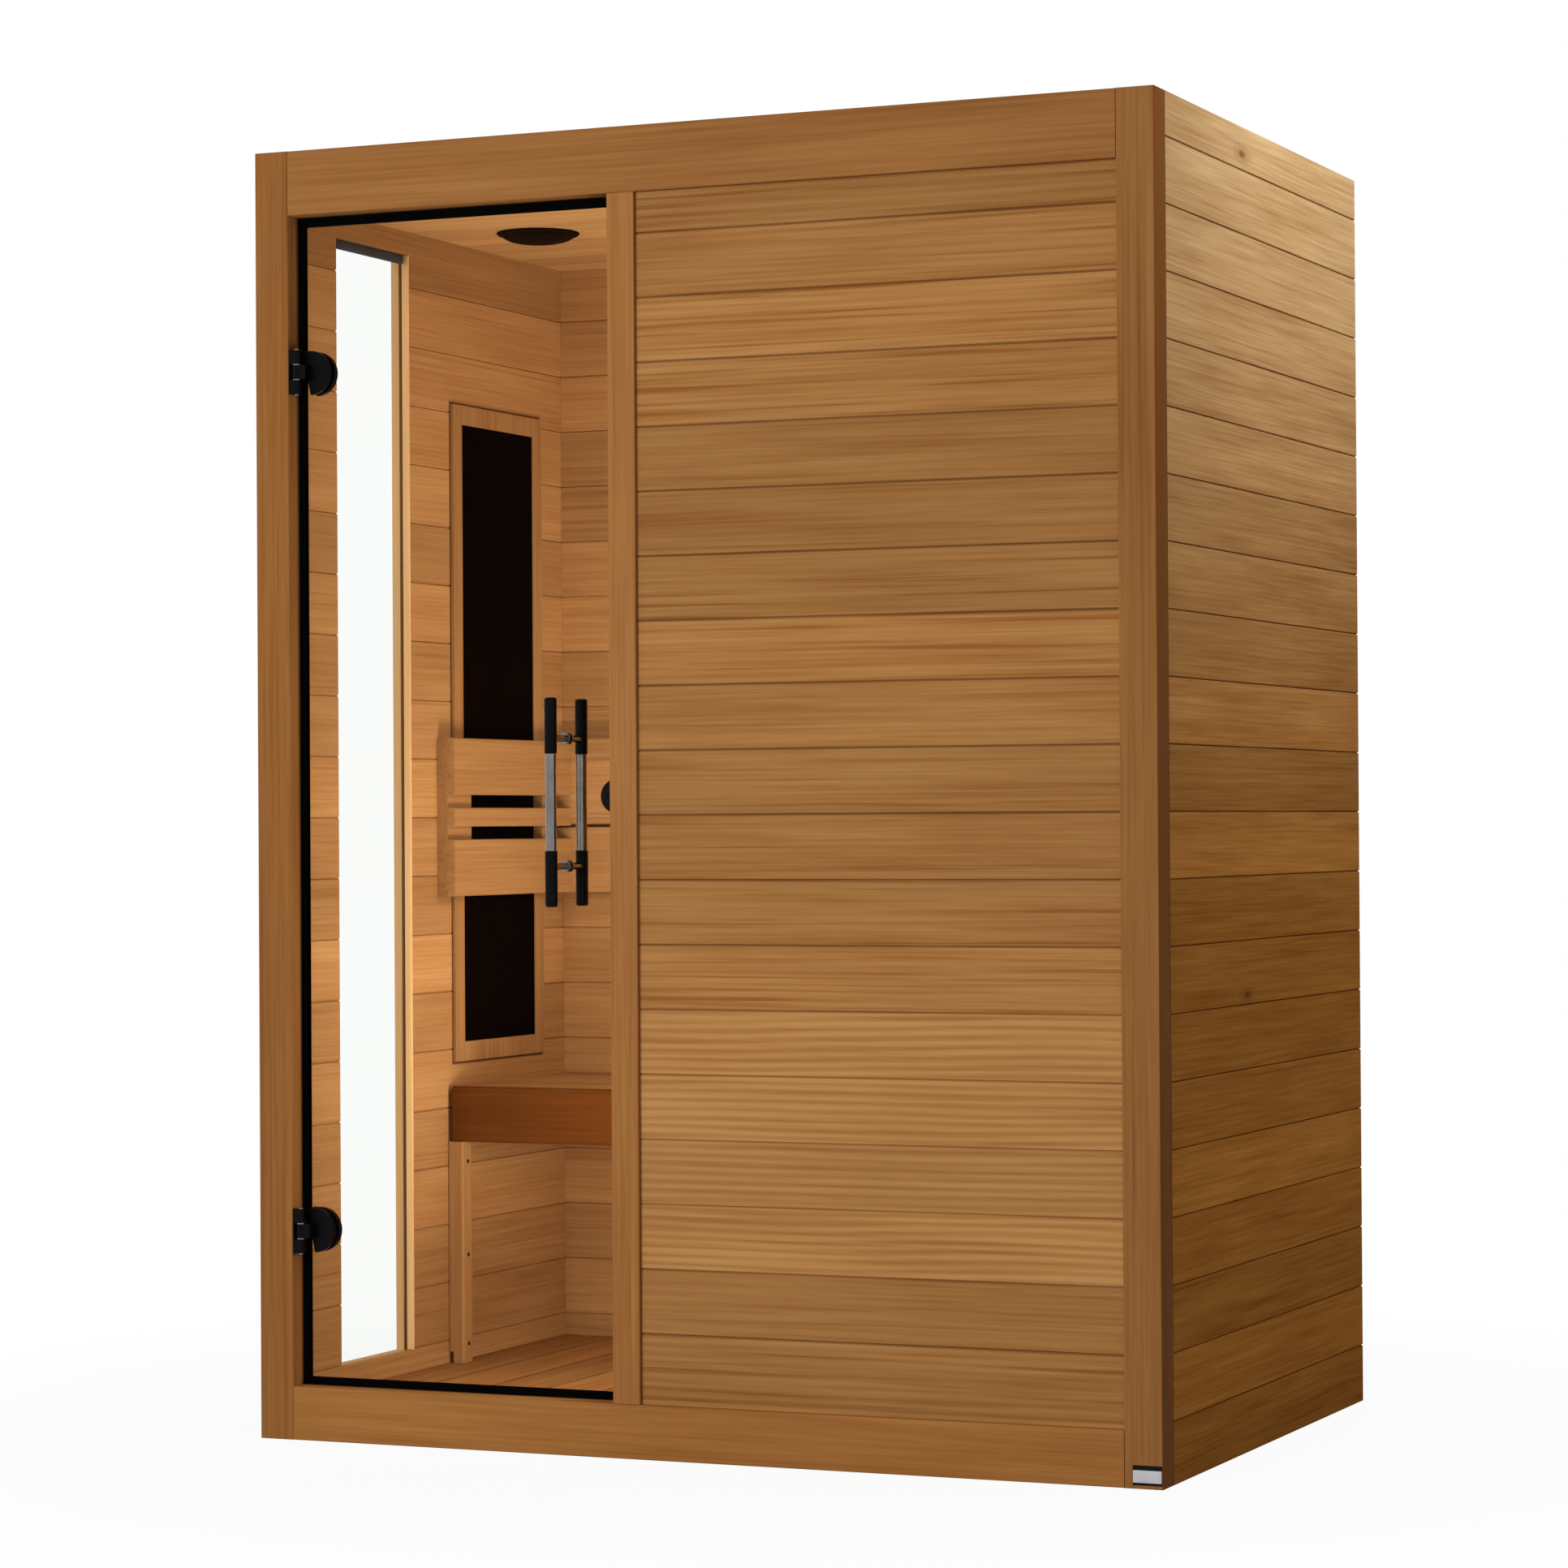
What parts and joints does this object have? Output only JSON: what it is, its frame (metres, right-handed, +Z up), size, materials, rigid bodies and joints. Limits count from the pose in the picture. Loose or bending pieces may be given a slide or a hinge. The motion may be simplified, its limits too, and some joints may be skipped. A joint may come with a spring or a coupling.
{
  "type": "infrared sauna cabin",
  "caption": "Rectangular wooden infrared sauna cabin with a framed glass door, side window, heated bench space with slatted guards, ceiling vent and control panel.",
  "frame": {"origin": "on the ground under the middle of the cabin, on the underside of the floor panel", "axes": "+X to the right seen from the front, +Y to the back, +Z up"},
  "size_m": [1.4, 1.003, 1.9],
  "materials": {
    "wall_wood": "satin hemlock boards",
    "frame_wood": "satin hemlock",
    "inner_wood": "satin hemlock boards",
    "glass": "clear tempered",
    "seal_rubber": "matte black",
    "black_metal": "satin black",
    "chrome": "polished",
    "heater_black": "matte black",
    "black_plastic": "matte black",
    "display_gloss": "gloss black",
    "white_plastic": "matte white",
    "grey_steel": "brushed"
  },
  "bodies": {
    "cabin": {"back_wall": "wall_wood", "bench_apron": "inner_wood", "bench_cleat_left": "inner_wood", "bench_cleat_right": "inner_wood", "bench_ledger": "inner_wood", "bench_seat": "inner_wood", "cable_gland": "black_plastic", "ceiling_lamp": "white_plastic", "ceiling_panel": "inner_wood", "control_display": "display_gloss", "control_housing": "black_plastic", "door_catch": "black_plastic", "door_stile": "frame_wood", "floor_panel": "inner_wood", "front_header": "frame_wood", "front_infill": "frame_wood", "front_post_left": "frame_wood", "front_post_right": "frame_wood", "front_sill_rail": "frame_wood", "guard_back": "inner_wood", "guard_left": "inner_wood", "guard_right": "inner_wood", "heater_back_left_frame": "frame_wood", "heater_back_left_panel": "heater_black", "heater_back_right_frame": "frame_wood", "heater_back_right_panel": "heater_black", "heater_left_frame": "frame_wood", "heater_left_panel": "heater_black", "heater_right_frame": "frame_wood", "heater_right_panel": "heater_black", "hinge_lower_leaf": "black_metal", "hinge_lower_pin": "chrome", "hinge_upper_leaf": "black_metal", "hinge_upper_pin": "chrome", "left_wall": "wall_wood", "power_box": "grey_steel", "right_wall": "wall_wood", "roof_board": "wall_wood", "speaker_left": "black_metal", "speaker_right": "black_metal", "vent_frame": "inner_wood", "window_bead": "frame_wood", "window_pane": "glass"},
    "door": {"door_glass": "glass", "door_seal": "seal_rubber", "handle_inner_bar": "black_metal", "handle_inner_sleeve": "chrome", "handle_outer_bar": "black_metal", "handle_outer_sleeve": "chrome", "handle_stud_lower": "chrome", "handle_stud_upper": "chrome", "hinge_lower_back_plate": "black_metal", "hinge_lower_clamp": "black_metal", "hinge_upper_back_plate": "black_metal", "hinge_upper_clamp": "black_metal"},
    "vent_shutter": {"vent_shutter": "inner_wood"},
    "key_cooler": {"key_cooler": "white_plastic"},
    "key_lamp": {"key_lamp": "white_plastic"},
    "key_power": {"key_power": "white_plastic"},
    "key_warmer": {"key_warmer": "white_plastic"}
  },
  "joints": [
    {"name": "door_swing", "type": "hinge", "parent": "cabin", "child": "door", "pos_m": [-0.635, -0.482, 0.94], "axis": [0, 0, -1], "range_deg": [0, 110]},
    {"name": "vent_slide", "type": "slide", "parent": "cabin", "child": "vent_shutter", "axis": [1, 0, 0], "range_m": [-0.115, 0]},
    {"name": "key_cooler_press", "type": "slide", "parent": "cabin", "child": "key_cooler", "axis": [0, -1, 0], "range_m": [0, 0.001], "stiffness_N_per_m": 600},
    {"name": "key_lamp_press", "type": "slide", "parent": "cabin", "child": "key_lamp", "axis": [0, -1, 0], "range_m": [0, 0.001], "stiffness_N_per_m": 600},
    {"name": "key_power_press", "type": "slide", "parent": "cabin", "child": "key_power", "axis": [0, -1, 0], "range_m": [0, 0.001], "stiffness_N_per_m": 600},
    {"name": "key_warmer_press", "type": "slide", "parent": "cabin", "child": "key_warmer", "axis": [0, -1, 0], "range_m": [0, 0.001], "stiffness_N_per_m": 600}
  ]
}
